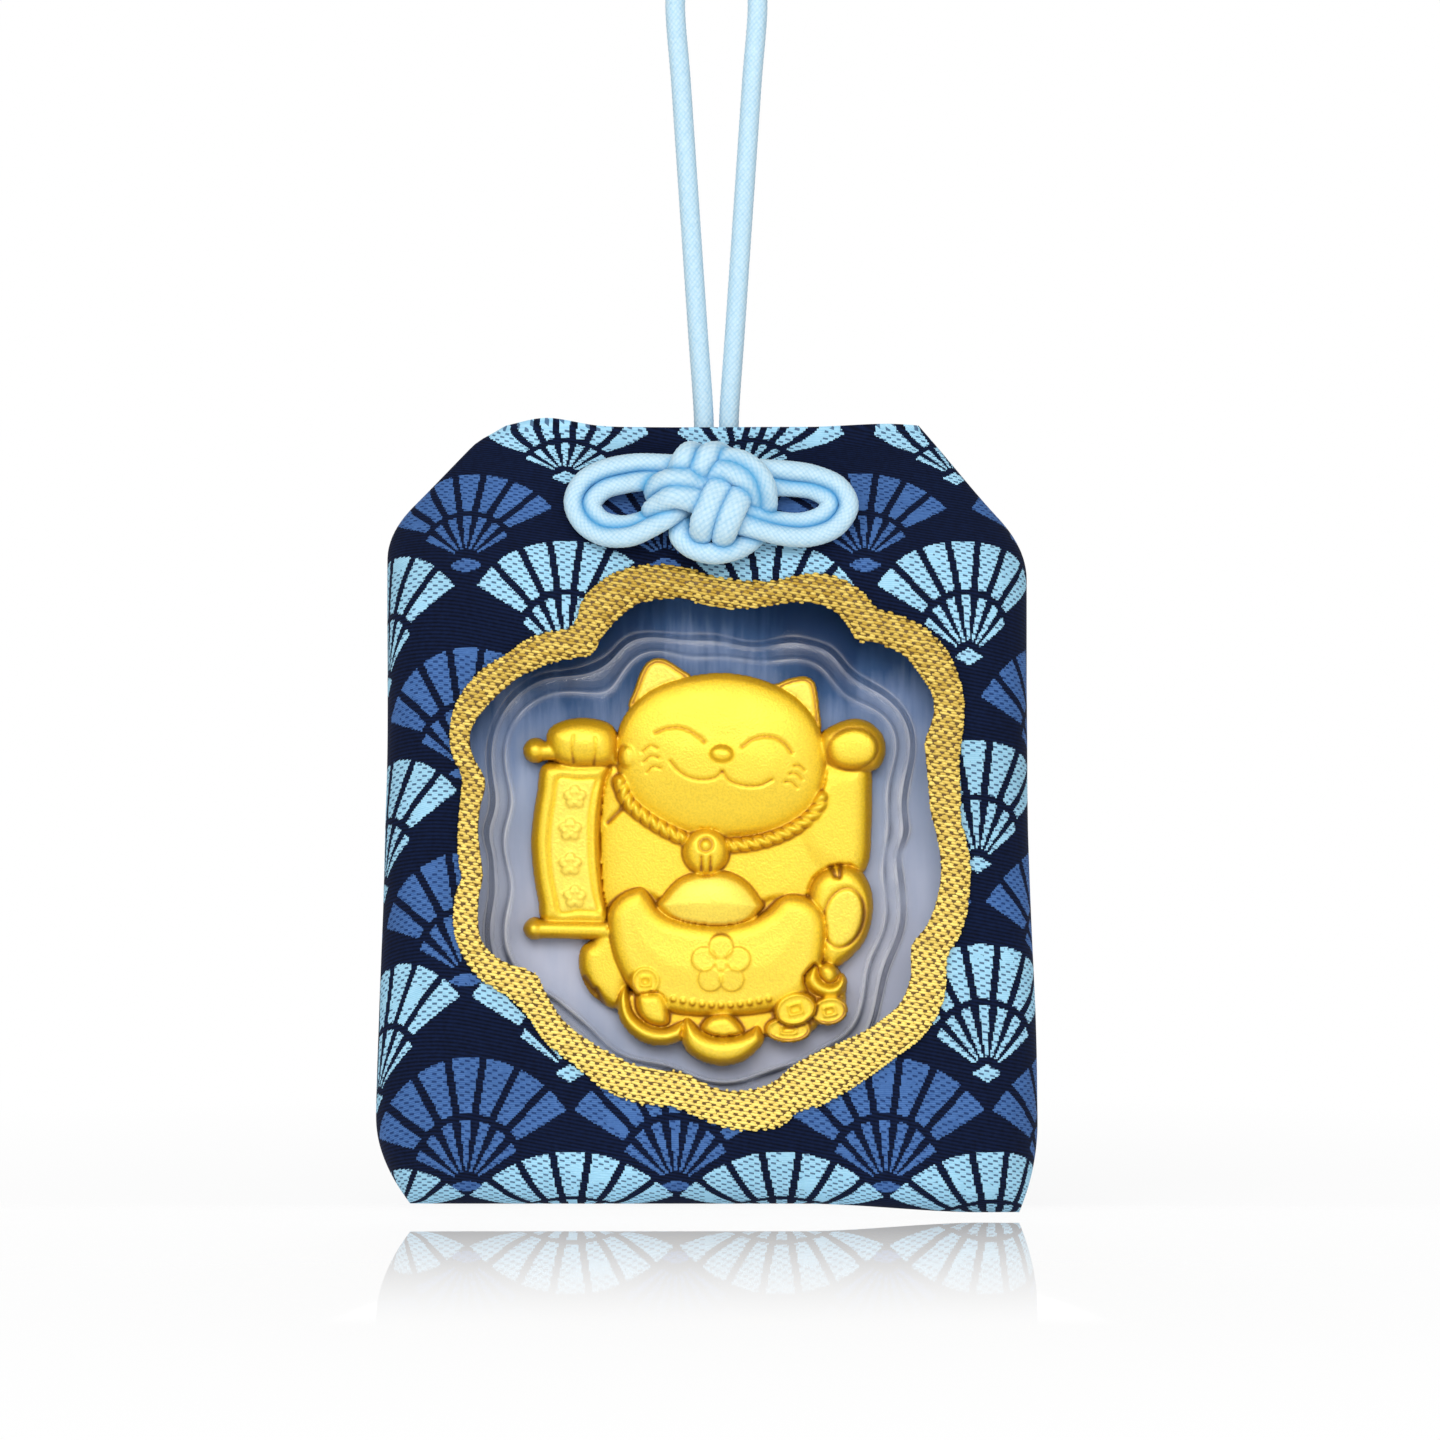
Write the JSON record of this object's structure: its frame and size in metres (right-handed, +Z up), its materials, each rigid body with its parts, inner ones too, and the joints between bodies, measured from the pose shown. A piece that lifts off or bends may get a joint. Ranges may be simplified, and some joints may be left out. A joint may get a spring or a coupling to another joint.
{
  "type": "hanging amulet pouch",
  "caption": "Brocade amulet pouch on a knotted cord loop, with a gold cat figure in a clear blister behind a cloud-shaped window edged in gold thread.",
  "frame": {"origin": "inside of the top of the cord loop, where a hook or a ring carries it", "axes": "+Z up along the hanging cord, front of the pouch with the window towards -Y, +X to the right seen from the front"},
  "size_m": [0.057, 0.0139, 0.1086],
  "materials": {
    "brocade": "woven navy cloth with light blue fans",
    "lining": "thin satin lining",
    "gold_thread": "gold metallic thread embroidery",
    "clear_plastic": "clear formed sheet",
    "gold": "gold-coloured relief, satin with bright edges",
    "card": "dark blue-grey card",
    "board": "grey board",
    "cord": "light blue braided cord"
  },
  "bodies": {
    "hanging_cord": {"hanging_loop": "cord"},
    "pouch": {"front_panel": "brocade", "back_panel": "brocade", "front_lining": "lining", "back_lining": "lining", "window_border": "gold_thread", "blister_cover": "clear_plastic", "lucky_cat": "gold", "backing_card": "card", "blister_back": "clear_plastic", "stiffener_board": "board", "front_knot": "cord", "cord_tail_left": "cord", "cord_tail_right": "cord"}
  },
  "joints": [
    {"name": "pouch_swing", "type": "hinge", "parent": "hanging_cord", "child": "pouch", "pos_m": [0, 0, -0.0388], "axis": [1, 0, 0], "range_deg": [-80, 80]}
  ]
}
